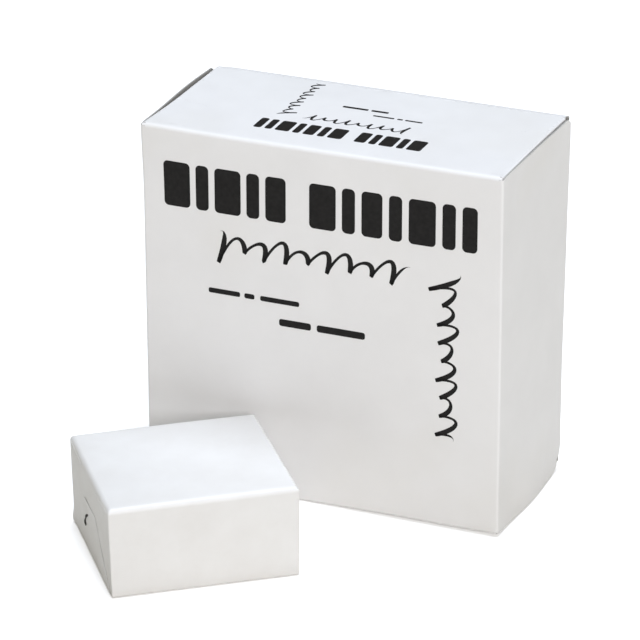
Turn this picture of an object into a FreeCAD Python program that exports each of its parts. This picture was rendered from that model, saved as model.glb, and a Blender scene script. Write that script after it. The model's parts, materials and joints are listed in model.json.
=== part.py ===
"""Gymnastics chalk: a tuck-end carton of eight paper-wrapped blocks, one of them standing beside it.

Millimetres. The origin is on the floor under the middle of the carton. +X runs along the carton's
front to the right, +Y to its back and +Z up. The carton is one folded blank, modelled as a panel
between each two creases. The wrapped blocks are two across, four high and one deep, and the place
at the top left is empty: its block stands in front of the carton, turned to one side.
"""

import FreeCAD, Part
import math
import os

import Sketcher

SIZES = [
    # A wrapped block, over its paper. The carton's own size follows from it.
    ("block_length", 59.8, "wrapped length, between the folded ends"),
    ("block_depth", 54.4, "wrapped depth"),
    ("block_height", 29.8, "wrapped height"),
    ("paper", 0.15, "thickness of the waxed paper"),
    ("paper_gap", 0.05, "clearance between the paper and the chalk, and between layers of paper"),
    ("cake_edge", 1.5, "radius of the pressed chalk's edges"),
    ("flap_overlap", 6.2, "overlap of the top and bottom flaps on a wrapper's end"),
    ("seam_lap", 13.0, "width of the lap where the wrapper's sheet closes"),
    # How the blocks are packed.
    ("pack_gap", 0.1, "clearance between columns of blocks, and between a column and a dust flap"),
    ("slide_gap", 0.1, "clearance under the block of the top row"),
    ("head_room", 1.2, "clearance between the top row and the glue flap over it"),
    # The carton's board and its flaps.
    ("board", 0.5, "thickness of the coated board"),
    ("crease_gap", 0.05, "clearance between a crease and the panel beside it, and between folded layers"),
    ("closure_edge_gap", 0.3, "how far an end closure's cut edges stay inside the carton's height"),
    ("closure_corner", 3.0, "radius of an end closure's free corners"),
    ("tuck_length", 11.0, "depth that a tuck flap goes into the carton"),
    ("tuck_unfold", 0.1, "how far a tuck flap unfolds, as a share of its closure's turn"),
    ("tuck_back_gap", 0.15, "clearance between a tuck flap's fold and the back panel"),
    ("tuck_edge_gap", 1.5, "how far a tuck flap's sides stay inside the carton's height"),
    ("tuck_corner", 4.0, "radius of a tuck flap's corners"),
    ("dust_length", 25.0, "length of a dust flap from its crease"),
    ("dust_front_gap", 0.4, "clearance between a dust flap and the front panel"),
    ("dust_corner", 3.0, "radius of a dust flap's corners"),
    ("glue_flap_width", 13.0, "width of the flap that closes the blank's tube"),
    ("glue_flap_taper", 8.0, "how far the glue flap's ends slope in"),
    # Where the loose block stands.
    ("loose_x", -27.2, "middle of the loose block along X"),
    ("loose_gap", 5.1, "distance between the carton's front and the loose block's nearest edge"),
    ("loose_turn", 38.3, "turn of the loose block about Z, in degrees"),
]

COLUMNS = 2
ROWS = 4
PACKED_BLOCKS = COLUMNS * ROWS - 1

X_AXIS = FreeCAD.Vector(1, 0, 0)
Y_AXIS = FreeCAD.Vector(0, 1, 0)
Z_AXIS = FreeCAD.Vector(0, 0, 1)

doc = FreeCAD.newDocument("ChalkCarton")
sheet = doc.addObject("Spreadsheet::Sheet", "Sizes")
for row, (alias, number, meaning) in enumerate(SIZES, start=1):
    sheet.set(f"A{row}", alias)
    sheet.set(f"B{row}", str(number))
    sheet.set(f"C{row}", meaning)
    sheet.setAlias(f"B{row}", alias)
doc.recompute()

# Sizes and places that several pieces share, as expressions of the sheet's values.
# A tuck flap leans in so that it passes the back panel as the closure swings.
TUCK_LEAN = "(180 / pi * (0.5 + Sizes.tuck_unfold) * Sizes.tuck_length / Sizes.block_depth)"
TUCK_ROOM = (
    f"(Sizes.tuck_back_gap + Sizes.board + Sizes.tuck_length * sin({TUCK_LEAN}) + Sizes.crease_gap)"
)
CARTON_WIDTH = (
    f"({COLUMNS} * Sizes.block_length + {COLUMNS + 1} * Sizes.pack_gap"
    " + 4 * Sizes.board + 2 * Sizes.crease_gap)"
)
CARTON_DEPTH = f"(Sizes.block_depth + 2 * Sizes.board + Sizes.crease_gap + {TUCK_ROOM})"
CARTON_HEIGHT = f"({ROWS} * Sizes.block_height + Sizes.slide_gap + Sizes.head_room + 3 * Sizes.board)"
FRONT_FACE = f"(-{CARTON_DEPTH} / 2)"
FRONT_INSIDE = f"({FRONT_FACE} + Sizes.board)"
BACK_INSIDE = f"({CARTON_DEPTH} / 2 - Sizes.board)"
CLOSURE_X = f"({CARTON_WIDTH} / 2 - Sizes.board / 2)"
CLOSURE_Y = f"({FRONT_FACE} + Sizes.board / 2)"
TUCK_Y = f"({BACK_INSIDE} - Sizes.board / 2 - Sizes.tuck_back_gap)"
DUST_X = f"({CLOSURE_X} - Sizes.board - Sizes.crease_gap)"
TOP_CREASE_Z = f"({CARTON_HEIGHT} - Sizes.board / 2)"
BOTTOM_CREASE_Z = "(Sizes.board / 2)"
BEAD_ROOM = "(Sizes.board / 2 + Sizes.crease_gap)"
END_STACK = "(5 * Sizes.paper + 3 * Sizes.paper_gap)"
CAKE_LENGTH = f"(Sizes.block_length - 2 * {END_STACK})"
CAKE_DEPTH = "(Sizes.block_depth - 2 * Sizes.paper - 2 * Sizes.paper_gap)"
CAKE_HEIGHT = "(Sizes.block_height - 2 * Sizes.paper - 2 * Sizes.paper_gap)"
WRAP_EDGE = "(Sizes.cake_edge + Sizes.paper_gap + Sizes.paper)"
# The sheet reaches past the block's ends by half its height and half the flaps' overlap.
END_FLAP = "((Sizes.block_height + Sizes.flap_overlap) / 2)"
# The loose block's middle, with its half length and half depth turned towards the carton.
LOOSE_REACH = "(Sizes.block_length * sin(Sizes.loose_turn) + Sizes.block_depth * cos(Sizes.loose_turn)) / 2"
LOOSE_Y = f"({FRONT_FACE} - Sizes.loose_gap - {LOOSE_REACH})"


def value(expression):
    """Work out an expression of the sheet's values, as a number."""
    return float(sheet.evalExpression(str(expression)))


def bind(thing, **expressions):
    """Bind properties of an object to expressions; a __ in a name stands for a dot."""
    for name, expression in expressions.items():
        thing.setExpression(name.replace("__", "."), str(expression))


def put(thing, x, y, z):
    """Bind an object's place to three expressions."""
    bind(thing, Placement__Base__x=x, Placement__Base__y=y, Placement__Base__z=z)


def axes(x_axis, z_axis):
    """The rotation that turns an object's own X and Z axes to two given directions."""
    return FreeCAD.Rotation(x_axis, z_axis.cross(x_axis), z_axis, "ZXY")


def box(label, length, width, height, x, y, z):
    """A plain rectangular panel."""
    panel = doc.addObject("Part::Box", label)
    bind(panel, Length=length, Width=width, Height=height)
    put(panel, x, y, z)
    return panel


def rounded_box(name, length, width, height, radius, along_x_only=False):
    """A box centred over the origin with its edges rounded, or only the four edges that run along X."""
    block = doc.addObject("Part::Box", name + "_block")
    bind(block, Length=length, Width=width, Height=height)
    put(block, f"-{length} / 2", f"-{width} / 2", "0")
    doc.recompute()
    rounded = doc.addObject("Part::Fillet", name)
    rounded.Base = block
    r = value(radius)
    rounded.Edges = [
        (number, r, r)
        for number, edge in enumerate(block.Shape.Edges, start=1)
        if not along_x_only or abs(edge.tangentAt(edge.FirstParameter).x) > 0.99
    ]
    return rounded


def draw_outline(sketch, corners):
    """Draw a closed outline through corners whose places are bound to expressions."""
    points = [FreeCAD.Vector(value(x), value(y), 0) for x, y in corners]
    first = sketch.GeometryCount
    count = len(points)
    for i in range(count):
        sketch.addGeometry(Part.LineSegment(points[i], points[(i + 1) % count]), False)
    for i in range(count):
        sketch.addConstraint(Sketcher.Constraint("Coincident", first + i, 2, first + (i + 1) % count, 1))
    for i, (x, y) in enumerate(corners):
        for direction, place, number in (("DistanceX", x, points[i].x), ("DistanceY", y, points[i].y)):
            index = sketch.addConstraint(Sketcher.Constraint(direction, -1, 1, first + i, 1, number))
            sketch.setExpression(f"Constraints[{index}]", place)


def pad_outlines(body, name, outlines, thickness, offset="0"):
    """Pad outlines drawn on the body's XZ plane, half the thickness to each side of the offset."""
    plane = next(each for each in body.Origin.OriginFeatures if each.Role == "XZ_Plane")
    sketch = body.newObject("Sketcher::SketchObject", name + "_outline")
    sketch.AttachmentSupport = [(plane, "")]
    sketch.MapMode = "FlatFace"
    sketch.setExpression("AttachmentOffset.Base.z", f"-({offset})")
    for corners in outlines:
        draw_outline(sketch, corners)
    pad = body.newObject("PartDesign::Pad", name + "_pad")
    pad.Profile = sketch
    pad.SideType = "Symmetric"
    pad.setExpression("Length", thickness)
    return pad


def plate(label, corners, thickness, corner_radius=None, round_beyond="0", bead=None, gussets=None):
    """A flat panel or flap in its own XZ plane, its crease along its own X axis.

    corner_radius rounds the corners whose Z is past round_beyond. bead gives the two ends of the
    rounded crease. gussets is (outlines, side): layers of paper folded under the flap, on its +Y
    or -Y side.
    """
    body = doc.addObject("PartDesign::Body", label)
    pad = pad_outlines(body, label, [corners], thickness)
    doc.recompute()
    if corner_radius:
        limit = value(round_beyond)
        names = []
        for number, edge in enumerate(pad.Shape.Edges, start=1):
            across = abs(edge.tangentAt(edge.FirstParameter).y) > 0.99
            if across and edge.CenterOfMass.z > limit:
                names.append(f"Edge{number}")
        fillet = body.newObject("PartDesign::Fillet", label + "_corners")
        fillet.Base = (pad, names)
        fillet.setExpression("Radius", corner_radius)
    if bead:
        crease = body.newObject("PartDesign::AdditiveCylinder", label + "_crease")
        crease.Placement = FreeCAD.Placement(FreeCAD.Vector(), axes(Y_AXIS, X_AXIS))
        length = f"({bead[1]}) - ({bead[0]})"
        bind(crease, Radius=f"{thickness} / 2", Height=length, Placement__Base__x=bead[0])
    if gussets:
        outlines, side = gussets
        pad_outlines(body, label + "_gusset", outlines, thickness, f"{side} * {thickness}")
    doc.recompute()
    return body


def turn_to(body, x_axis, z_axis, x, y, z):
    """Turn a body's own X and Z axes to two directions and bind its place."""
    body.Placement = FreeCAD.Placement(FreeCAD.Vector(), axes(x_axis, z_axis))
    put(body, x, y, z)


def carton_tube():
    """The four walls of the carton's tube and the flap that glues it closed."""
    wall_length = f"2 * ({CLOSURE_X} - {BEAD_ROOM})"
    cover_length = f"2 * ({DUST_X} - {BEAD_ROOM})"
    inside_depth = f"{CARTON_DEPTH} - 2 * Sizes.board"
    front = box(
        "front_panel", wall_length, "Sizes.board", CARTON_HEIGHT,
        f"-({wall_length}) / 2", FRONT_FACE, "0",
    )
    back = box(
        "back_panel", CARTON_WIDTH, "Sizes.board", CARTON_HEIGHT,
        f"-{CARTON_WIDTH} / 2", BACK_INSIDE, "0",
    )
    bottom = box(
        "bottom_panel", cover_length, inside_depth, "Sizes.board",
        f"-({cover_length}) / 2", FRONT_INSIDE, "0",
    )
    top = box(
        "top_panel", cover_length, inside_depth, "Sizes.board",
        f"-({cover_length}) / 2", FRONT_INSIDE, f"{CARTON_HEIGHT} - Sizes.board",
    )
    # The glue flap lies under the top panel, from the back crease forward, its ends sloping in.
    half = f"({cover_length}) / 2"
    corners = [
        (f"-({half})", "0"),
        (half, "0"),
        (f"{half} - Sizes.glue_flap_taper", "Sizes.glue_flap_width"),
        (f"-({half} - Sizes.glue_flap_taper)", "Sizes.glue_flap_width"),
    ]
    glue = plate("glue_flap", corners, "Sizes.board")
    turn_to(glue, X_AXIS, -Y_AXIS, "0", BACK_INSIDE, f"{CARTON_HEIGHT} - 1.5 * Sizes.board")
    return [front, back, bottom, top, glue]


def carton_end(side, sign):
    """One end of the carton: the closure, its tuck flap and the two dust flaps behind it."""
    across = f"({TUCK_Y} - {CLOSURE_Y})"
    low = "Sizes.closure_edge_gap"
    high = f"{CARTON_HEIGHT} - Sizes.closure_edge_gap"
    tuck_fold = f"{across} - {BEAD_ROOM}"
    closure = plate(
        f"{side}_closure_panel",
        [(low, "0"), (high, "0"), (high, tuck_fold), (low, tuck_fold)],
        "Sizes.board", "Sizes.closure_corner", f"{across} / 2", bead=(low, high),
    )
    turn_to(closure, Z_AXIS, Y_AXIS, f"{sign} * {CLOSURE_X}", CLOSURE_Y, "0")

    low = "Sizes.tuck_edge_gap"
    high = f"{CARTON_HEIGHT} - Sizes.tuck_edge_gap"
    # The crease stops short of the closure's rounded corners.
    bead_low = "Sizes.closure_edge_gap + Sizes.closure_corner"
    bead_high = f"{CARTON_HEIGHT} - Sizes.closure_edge_gap - Sizes.closure_corner"
    tuck = plate(
        f"{side}_tuck_flap",
        [(bead_low, "0"), (bead_high, "0"), (high, f"({high} - ({bead_high}))"),
         (high, "Sizes.tuck_length"), (low, "Sizes.tuck_length"), (low, f"({bead_low} - {low})")],
        "Sizes.board", "Sizes.tuck_corner", "Sizes.tuck_length - Sizes.board", bead=(bead_low, bead_high),
    )
    lean = math.radians(value(TUCK_LEAN))
    inward = FreeCAD.Vector(-sign * math.cos(lean), -math.sin(lean), 0)
    turn_to(tuck, Z_AXIS, inward, f"{sign} * {CLOSURE_X}", TUCK_Y, "0")

    # A dust flap's front edge slopes at 45 degrees from its crease, clear of the closure as both swing.
    front = f"{FRONT_INSIDE} + Sizes.dust_front_gap"
    back = f"{BACK_INSIDE} - {TUCK_ROOM}"
    flaps = []
    for name, crease_z, direction in (("top", TOP_CREASE_Z, -Z_AXIS), ("bottom", BOTTOM_CREASE_Z, Z_AXIS)):
        flap = plate(
            f"{side}_{name}_dust_flap",
            [(front, "0"), (back, "0"), (back, "Sizes.dust_length"),
             (f"{front} + Sizes.dust_length", "Sizes.dust_length")],
            "Sizes.board", "Sizes.dust_corner", "Sizes.dust_length / 2", bead=(front, back),
        )
        turn_to(flap, Y_AXIS, direction, f"{sign} * {DUST_X}", "0", crease_z)
        flaps.append(flap)
    return [closure, tuck] + flaps


def chalk_cake(label):
    """One pressed block of chalk, its edges slightly rounded, standing over the origin."""
    return rounded_box(label, CAKE_LENGTH, CAKE_DEPTH, CAKE_HEIGHT, "Sizes.cake_edge")


def closed_wrapper(label):
    """The paper of a packed block: a closed skin, thicker at its ends where the folds lie."""
    skin = rounded_box(
        label + "_skin", "Sizes.block_length", "Sizes.block_depth", "Sizes.block_height", WRAP_EDGE
    )
    hollow = rounded_box(
        label + "_hollow", f"({CAKE_LENGTH} + 2 * Sizes.paper_gap)", f"({CAKE_DEPTH} + 2 * Sizes.paper_gap)",
        f"({CAKE_HEIGHT} + 2 * Sizes.paper_gap)", "Sizes.cake_edge + Sizes.paper_gap",
    )
    hollow.setExpression("Placement.Base.z", "Sizes.paper")
    wrapper = doc.addObject("Part::Cut", label)
    wrapper.Base = skin
    wrapper.Tool = hollow
    return wrapper


def packed_blocks():
    """Seven wrapped blocks in two columns, filled from the bottom; the last is alone in the top row."""
    pieces = []
    for number in range(1, PACKED_BLOCKS + 1):
        in_top_row = number == PACKED_BLOCKS
        row = (number - 1) // COLUMNS
        sign = 1 if in_top_row or number % COLUMNS == 0 else -1
        x = f"{sign} * (Sizes.block_length + Sizes.pack_gap) / 2"
        y = f"{FRONT_INSIDE} + Sizes.crease_gap + Sizes.block_depth / 2"
        z = f"Sizes.board + {row} * Sizes.block_height" + (" + Sizes.slide_gap" if in_top_row else "")
        cake = chalk_cake(f"packed_chalk_{number}")
        put(cake, x, y, f"{z} + Sizes.paper + Sizes.paper_gap")
        wrapper = closed_wrapper(f"packed_wrapper_{number}")
        put(wrapper, x, y, z)
        pieces += [cake, wrapper]
    return pieces


def stand_loose(thing, x=0.0, y=0.0, z=0.0, rotation=FreeCAD.Rotation()):
    """Place a piece of the loose block, given its place in the block's own frame."""
    middle = FreeCAD.Vector(value("Sizes.loose_x"), value(LOOSE_Y), 0)
    block = FreeCAD.Placement(middle, FreeCAD.Rotation(Z_AXIS, value("Sizes.loose_turn")))
    thing.Placement = block.multiply(FreeCAD.Placement(FreeCAD.Vector(x, y, z), rotation))
    return thing


def loose_wrapper_end(side, sign):
    """The folded end of the loose wrapper: two side tucks, then the top flap, then the bottom flap."""
    paper = value("Sizes.paper")
    gap = value("Sizes.paper_gap")
    height = value("Sizes.block_height")
    edge = value(WRAP_EDGE)
    depth = value("Sizes.block_depth")
    cake_end = value(f"{CAKE_LENGTH} / 2")
    tuck_middle = cake_end + gap + paper / 2
    top_middle = cake_end + 2 * gap + 2.5 * paper
    bottom_middle = cake_end + 3 * gap + 4.5 * paper

    pieces = []
    for name, facing in (("front", -1), ("back", 1)):
        label = f"loose_{side}_{name}_tuck"
        tall = f"(Sizes.block_height - 2 * {WRAP_EDGE})"
        tuck = plate(label, [("0", "0"), (tall, "0"), (tall, END_FLAP), ("0", END_FLAP)],
                     "Sizes.paper")
        start = facing * (depth / 2 - paper - gap)
        stand_loose(tuck, sign * tuck_middle, start, edge, axes(Z_AXIS, Y_AXIS * -facing))
        pieces.append(tuck)

    # The end flaps narrow at 45 degrees, where the paper folds back under them as gussets.
    half = f"(Sizes.block_depth / 2 - {WRAP_EDGE})"
    tip = f"({half} - {END_FLAP})"
    flap_outline = [(f"-{half}", "0"), (half, "0"), (tip, END_FLAP), (f"-{tip}", END_FLAP)]
    clear = "(Sizes.paper + Sizes.paper_gap)"
    gusset_outlines = []
    for facing in (-1, 1):
        gusset_outlines.append([
            (f"{facing} * ({half} - {clear})", clear),
            (f"{facing} * {tip}", clear),
            (f"{facing} * {tip}", END_FLAP),
        ])
    for name, middle, z, direction in (
        ("top", top_middle, height - paper / 2, -Z_AXIS),
        ("bottom", bottom_middle, paper / 2, Z_AXIS),
    ):
        own_y = direction.cross(Y_AXIS)
        inner_side = -1 if own_y.x * sign > 0 else 1
        flap = plate(
            f"loose_{side}_{name}_flap", flap_outline, "Sizes.paper",
            bead=(f"-{half}", half), gussets=(gusset_outlines, inner_side),
        )
        stand_loose(flap, sign * middle, 0, z, axes(Y_AXIS, direction))
        pieces.append(flap)
    return pieces


def loose_block():
    """The block outside the carton: its chalk, the sleeve of paper, the sleeve's lap and both ends."""
    paper = value("Sizes.paper")
    gap = value("Sizes.paper_gap")
    cake = stand_loose(chalk_cake("loose_chalk"), z=paper + gap)

    # The sleeve stops inside the crease of the top flap.
    sleeve_length = f"({CAKE_LENGTH} + 2 * Sizes.paper_gap + 4 * Sizes.paper)"
    outer = rounded_box(
        "loose_sleeve_skin", sleeve_length, "Sizes.block_depth", "Sizes.block_height", WRAP_EDGE,
        along_x_only=True,
    )
    inner = rounded_box(
        "loose_sleeve_hollow", f"({sleeve_length} + 2 * Sizes.paper)",
        f"({CAKE_DEPTH} + 2 * Sizes.paper_gap)", f"({CAKE_HEIGHT} + 2 * Sizes.paper_gap)",
        "Sizes.cake_edge + Sizes.paper_gap", along_x_only=True,
    )
    inner.setExpression("Placement.Base.z", "Sizes.paper")
    sleeve = doc.addObject("Part::Cut", "loose_wrapper_sleeve")
    sleeve.Base = outer
    sleeve.Tool = inner
    stand_loose(sleeve)

    lap = doc.addObject("Part::Box", "loose_wrapper_lap")
    bind(lap, Length=sleeve_length, Width="Sizes.paper", Height="Sizes.seam_lap")
    lap_z = value(f"Sizes.block_height - {WRAP_EDGE} - Sizes.seam_lap")
    stand_loose(lap, -value(sleeve_length) / 2, value("Sizes.block_depth / 2"), lap_z)
    return [cake, sleeve, lap] + loose_wrapper_end("left", -1) + loose_wrapper_end("right", 1)


def check(pieces):
    """Stop with a plain message if anything in the document failed or a piece has no valid shape."""
    for thing in doc.Objects:
        if "Invalid" in thing.State or "Error" in thing.State:
            raise RuntimeError(f"{thing.Label} failed: {thing.State}")
    for piece in pieces:
        if piece.Shape.isNull() or not piece.Shape.isValid() or not piece.Shape.Solids:
            raise RuntimeError(f"{piece.Label} has no valid solid")


def write(pieces):
    """Write each piece to its own file."""
    os.makedirs("parts", exist_ok=True)
    for piece in pieces:
        piece.Shape.exportStep(f"parts/{piece.Label}.step")
        print(piece.Label, round(piece.Shape.Volume, 1), "mm3")


pieces = carton_tube() + carton_end("left", -1) + carton_end("right", 1) + packed_blocks() + loose_block()
doc.recompute()
check(pieces)
write(pieces)
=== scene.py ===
"""The looks of the gymnastics chalk carton: folded board, printed marks, waxed wrappers and chalk.

Lengths are in millimetres in the parametric code and become metres when a mesh is made. The frame is
the CAD's: the origin under the middle of the carton, +X to the right, +Y to the back, +Z up.
"""

import json
import math

import bmesh
import bpy
import numpy as np
from mathutils import Matrix, Vector


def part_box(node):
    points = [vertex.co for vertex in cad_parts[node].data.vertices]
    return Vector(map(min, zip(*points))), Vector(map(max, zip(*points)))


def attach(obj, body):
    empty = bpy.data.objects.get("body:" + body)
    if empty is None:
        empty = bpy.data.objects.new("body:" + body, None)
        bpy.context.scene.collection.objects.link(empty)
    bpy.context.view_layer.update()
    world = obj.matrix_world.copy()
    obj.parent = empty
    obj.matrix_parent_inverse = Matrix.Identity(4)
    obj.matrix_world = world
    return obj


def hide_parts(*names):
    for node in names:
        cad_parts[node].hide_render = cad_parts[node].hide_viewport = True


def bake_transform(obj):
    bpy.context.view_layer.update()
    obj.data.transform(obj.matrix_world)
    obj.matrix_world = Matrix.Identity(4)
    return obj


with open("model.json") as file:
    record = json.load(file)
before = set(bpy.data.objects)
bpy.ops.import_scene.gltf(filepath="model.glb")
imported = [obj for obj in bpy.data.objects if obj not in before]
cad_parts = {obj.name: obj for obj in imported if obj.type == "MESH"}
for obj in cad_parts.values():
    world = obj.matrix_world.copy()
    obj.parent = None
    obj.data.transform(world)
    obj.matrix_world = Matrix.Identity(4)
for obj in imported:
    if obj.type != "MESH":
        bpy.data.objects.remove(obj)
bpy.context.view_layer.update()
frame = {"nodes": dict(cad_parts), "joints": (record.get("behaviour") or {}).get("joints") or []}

MM = 0.001


# ---------------------------------------------------------------- sizes, from the frame

def box_mm(node):
    """A CAD node's lowest and highest corners, in millimetres."""
    low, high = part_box(node)
    return np.array(low) / MM, np.array(high) / MM


def joint(name):
    """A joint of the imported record."""
    return next(each for each in frame["joints"] if each["name"] == name)


FRONT_LOW, FRONT_HIGH = box_mm("front_panel")
BACK_HIGH = box_mm("back_panel")[1]
TUCK_LOW, TUCK_HIGH = box_mm("right_tuck_flap")
CLOSURE_LOW, CLOSURE_HIGH = box_mm("right_closure_panel")
DUST_LOW, DUST_HIGH = box_mm("right_top_dust_flap")
GLUE_LOW, GLUE_HIGH = box_mm("glue_flap")

HALF_WIDTH = BACK_HIGH[0]
HALF_DEPTH = BACK_HIGH[1]
HEIGHT = FRONT_HIGH[2]
CENTRE = (0, 0, HEIGHT / 2)     # the carton's middle, which the outsides of its boards face away from
BOARD = FRONT_HIGH[1] - FRONT_LOW[1]
SEAM = HALF_WIDTH - 1.6         # where the tube's walls end and the flaps' creases begin
FOLD = np.array([HALF_WIDTH, TUCK_HIGH[1] + 0.08])    # where a closure folds into its tuck flap
TUCK_START = FOLD[1] - 1.0      # where the closure's board ends and the tuck flap's begins
CREASE_REACH = 1.2              # how far from a closure's hinge the blend's ends lie, though no blend is applied
TIP_TURN = 0.9                  # the same at a tuck flap's and a dust flap's hinge

WALL_CREASES = (0.9, 1.5, 0.6, 0.9)     # outside radii: bottom front, top front, top back, bottom back
CLOSURE_CREASE = 0.8
TUCK_CREASE = 0.45
DUST_CREASE = 0.5
CLOSURE_CORNER = 1.2            # radii of the flaps' rounded corners
TUCK_CORNER = 4.0
DUST_CORNER = 2.5
CLOSURE_RELIEF = 0.5            # how much narrower a closure is at its hinge

BLOCK_LOW, BLOCK_HIGH = box_mm("packed_wrapper_1")
BLOCK_LENGTH, BLOCK_DEPTH, BLOCK_HEIGHT = BLOCK_HIGH - BLOCK_LOW
BLOCK_CENTRE = (0, 0, BLOCK_HEIGHT / 2)     # in a block's own frame
FLAP_LENGTH = box_mm("loose_left_bottom_flap")[1][2]
PACKED_BLOCKS = sum(name.startswith("packed_wrapper") for name in frame["nodes"])
PAPER = 0.12                    # the thickness of the drawn paper
BLOCK_EDGE = 1.7                # radius of a wrapped block's long edges
BLOCK_TOE = 0.8                 # radius of the sharper one, at the bottom of its front


# ---------------------------------------------------------------- helpers for surfaces

def smooth(t):
    """Rise smoothly from 0 to 1 as t goes from 0 to 1."""
    t = np.clip(t, 0.0, 1.0)
    return t * t * (3 - 2 * t)


def bump(t):
    """A smooth hump over 0 to 1, and 0 outside."""
    return np.sin(np.pi * np.clip(t, 0.0, 1.0)) ** 2


def lattice(ix, iy, iz, seed):
    """A repeatable number from -1 to 1 for each whole-number point."""
    value = np.sin(ix * 127.1 + iy * 311.7 + iz * 74.7 + seed * 53.3) * 43758.5453
    return 2 * (value - np.floor(value)) - 1


def noise(points, size, seed=0):
    """Smooth value noise from -1 to 1, whose features are about size millimetres across."""
    p = np.asarray(points, float) / size
    cell = np.floor(p)
    part = p - cell
    part = part * part * (3 - 2 * part)
    total = 0.0
    for dx in (0, 1):
        for dy in (0, 1):
            for dz in (0, 1):
                weight = (
                    np.where(dx, part[..., 0], 1 - part[..., 0])
                    * np.where(dy, part[..., 1], 1 - part[..., 1])
                    * np.where(dz, part[..., 2], 1 - part[..., 2])
                )
                value = lattice(cell[..., 0] + dx, cell[..., 1] + dy, cell[..., 2] + dz, seed)
                total = total + weight * value
    return total


ARC_PIECES = 6      # how many straight pieces a rounded corner is drawn with


def rounded_path(points, radii, step, closed=False):
    """Points along a path of straight runs whose corners are rounded, about one step apart.

    radii gives each corner's radius; the ends of an open path have none.
    """
    points = [np.array(p, float) for p in points]
    count = len(points)
    stations = []
    inner = range(count) if closed else range(1, count - 1)
    arcs = {}
    for i in inner:
        before, corner, after = points[i - 1], points[i], points[(i + 1) % count]
        a = (before - corner) / np.linalg.norm(before - corner)
        b = (after - corner) / np.linalg.norm(after - corner)
        half = math.acos(np.clip(a @ b, -1, 1)) / 2
        cut = radii[i] / math.tan(half)
        centre = corner + (a + b) / np.linalg.norm(a + b) * radii[i] / math.sin(half)
        arcs[i] = (corner + a * cut, corner + b * cut, centre, math.pi - 2 * half)
    for i in range(count):
        if i in arcs:
            start, end, centre, turn = arcs[i]
            u, v = start - centre, end - centre
            for k in range(ARC_PIECES + 1):
                t = k / ARC_PIECES
                weight_u = math.sin((1 - t) * turn) / math.sin(turn)
                weight_v = math.sin(t * turn) / math.sin(turn)
                stations.append(centre + u * weight_u + v * weight_v)
            here = end
        else:
            stations.append(points[i])
            here = points[i]
        following = (i + 1) % count
        if following == 0 and not closed:
            break
        there = arcs[following][0] if following in arcs else points[following]
        pieces = max(1, round(np.linalg.norm(there - here) / step))
        for k in range(1, pieces):
            stations.append(here + (there - here) * k / pieces)
    return np.array(stations)


def grid_normals(grid, wrap, centre):
    """Unit normals of a grid of points, turned away from a centre."""
    rows = np.gradient(grid, axis=0)
    if wrap:
        columns = (np.roll(grid, -1, axis=1) - np.roll(grid, 1, axis=1)) / 2
    else:
        columns = np.gradient(grid, axis=1)
    normals = np.cross(rows, columns)
    normals /= np.maximum(np.linalg.norm(normals, axis=2, keepdims=True), 1e-9)
    if ((grid - np.array(centre, float)) * normals).sum() < 0:
        normals = -normals
    return normals


def shell_data(outer, thickness, centre, wrap=False):
    """Vertices, faces and a material index for each face of a thin closed sheet under a grid."""
    inner = outer - grid_normals(outer, wrap, centre) * thickness
    rows, columns = outer.shape[:2]
    vertices = np.concatenate([outer.reshape(-1, 3), inner.reshape(-1, 3)])
    under = rows * columns
    faces, kinds = [], []
    spans = columns if wrap else columns - 1
    for i in range(rows - 1):
        for j in range(spans):
            k = (j + 1) % columns
            a, b = i * columns + j, i * columns + k
            c, d = b + columns, a + columns
            faces += [(a, b, c, d), (under + d, under + c, under + b, under + a)]
            kinds += [0, 1]
    for i in (0, rows - 1):
        for j in range(spans):
            k = (j + 1) % columns
            a, b = i * columns + j, i * columns + k
            faces.append((a, b, under + b, under + a))
            kinds.append(1)
    if not wrap:
        for j in (0, columns - 1):
            for i in range(rows - 1):
                a, b = i * columns + j, (i + 1) * columns + j
                faces.append((a, b, under + b, under + a))
                kinds.append(1)
    return vertices, faces, kinds


CREASE_ANGLE = math.radians(40)     # edges that turn more than this are drawn sharp


def make_piece(name, parts, materials):
    """One mesh object from several (vertices, faces, kinds), in millimetres."""
    vertices, faces, kinds = [], [], []
    for part_vertices, part_faces, part_kinds in parts:
        start = len(vertices)
        vertices += [tuple(v) for v in np.asarray(part_vertices) * MM]
        faces += [tuple(start + index for index in face) for face in part_faces]
        kinds += list(part_kinds)
    mesh = bpy.data.meshes.new(name)
    mesh.from_pydata(vertices, [], faces)
    for material in materials:
        mesh.materials.append(material)
    mesh.polygons.foreach_set("material_index", [min(kind, len(materials) - 1) for kind in kinds])
    work = bmesh.new()
    work.from_mesh(mesh)
    bmesh.ops.recalc_face_normals(work, faces=work.faces)
    work.to_mesh(mesh)
    work.free()
    mesh.polygons.foreach_set("use_smooth", [True] * len(mesh.polygons))
    mesh.set_sharp_from_angle(angle=CREASE_ANGLE)
    mesh.update()
    piece = bpy.data.objects.new(name, mesh)
    bpy.context.scene.collection.objects.link(piece)
    return piece


# ---------------------------------------------------------------- materials

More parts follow.
